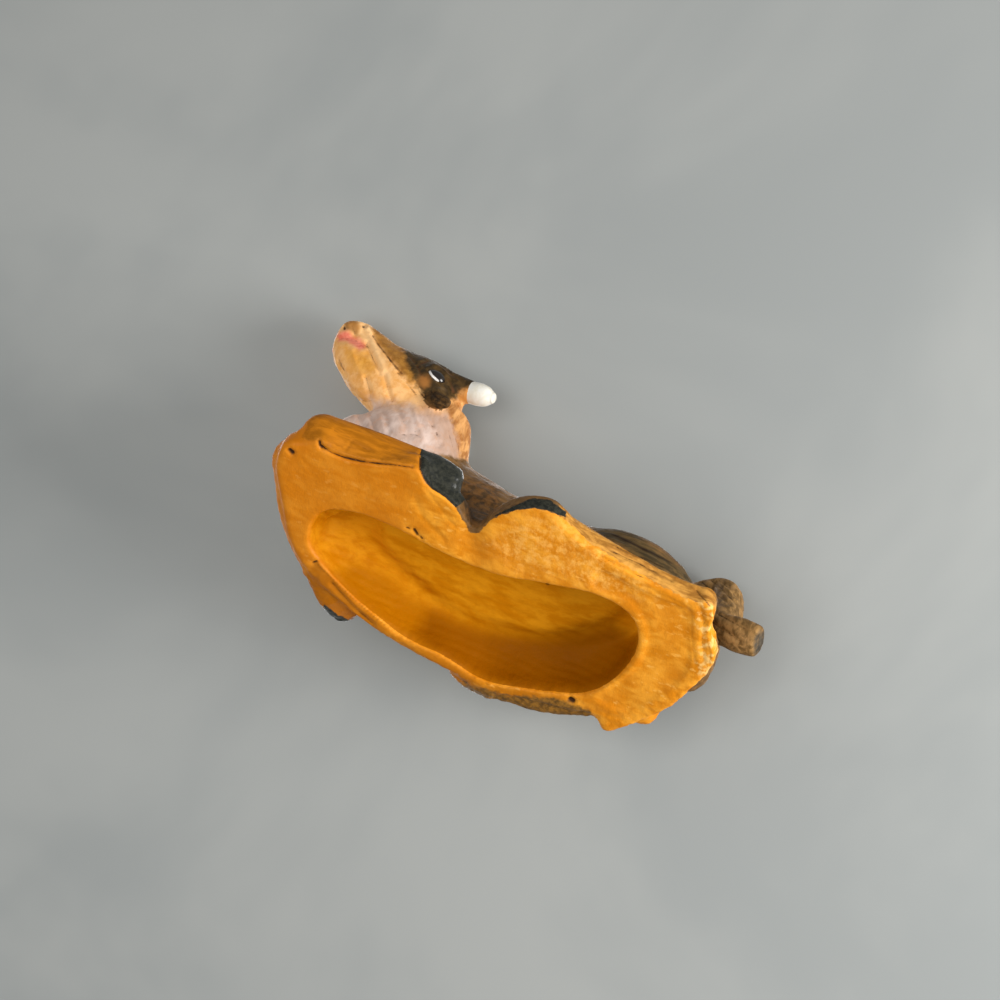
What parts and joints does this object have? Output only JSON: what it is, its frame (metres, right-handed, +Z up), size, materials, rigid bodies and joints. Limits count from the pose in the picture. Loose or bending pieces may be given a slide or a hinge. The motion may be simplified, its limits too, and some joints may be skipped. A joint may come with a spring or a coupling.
{
  "type": "animal figurine",
  "caption": "Lying cow with raised head, folded legs and short horns, a hand-painted casting with a hollow in its flat underside.",
  "frame": {"origin": "on the ground plane, under the middle of the whole figure's bounding box", "axes": "the cow faces -Y, its left flank is on +X and +Z is up; the flat underside lies at z = 0"},
  "size_m": [0.058, 0.1166, 0.0634],
  "materials": {
    "body_paint": "hand-painted plaster composition, ochre, satin with worn edges",
    "hair_paint": "hand-painted plaster composition, dark brown over ochre, brushed",
    "head_paint": "hand-painted plaster composition, tan with dark forehead and pink muzzle",
    "dewlap_paint": "hand-painted plaster composition, pinkish white, matt",
    "hoof_paint": "black paint with a soft gloss on plaster composition",
    "horn_paint": "cream paint with a soft gloss on plaster composition",
    "eye_paint": "glossy black paint",
    "dowel_wood": "plain turned wood",
    "core_wire": "drawn steel wire"
  },
  "bodies": {
    "root": {"body_casting": "body_paint", "neck": "dewlap_paint", "head": "head_paint", "neck_dowel": "dowel_wood", "tail": "hair_paint", "tail_tuft": "hair_paint", "tail_wire": "core_wire", "left_foreleg": "hair_paint", "left_fore_hoof": "hoof_paint", "left_hind_leg": "hair_paint", "left_hind_hoof": "hoof_paint", "left_horn": "horn_paint", "left_horn_wire": "core_wire", "left_ear": "hair_paint", "left_eye": "eye_paint", "right_foreleg": "hair_paint", "right_fore_hoof": "hoof_paint", "right_hind_leg": "hair_paint", "right_hind_hoof": "hoof_paint", "right_horn": "horn_paint", "right_horn_wire": "core_wire", "right_ear": "hair_paint", "right_eye": "eye_paint"}
  },
  "joints": []
}
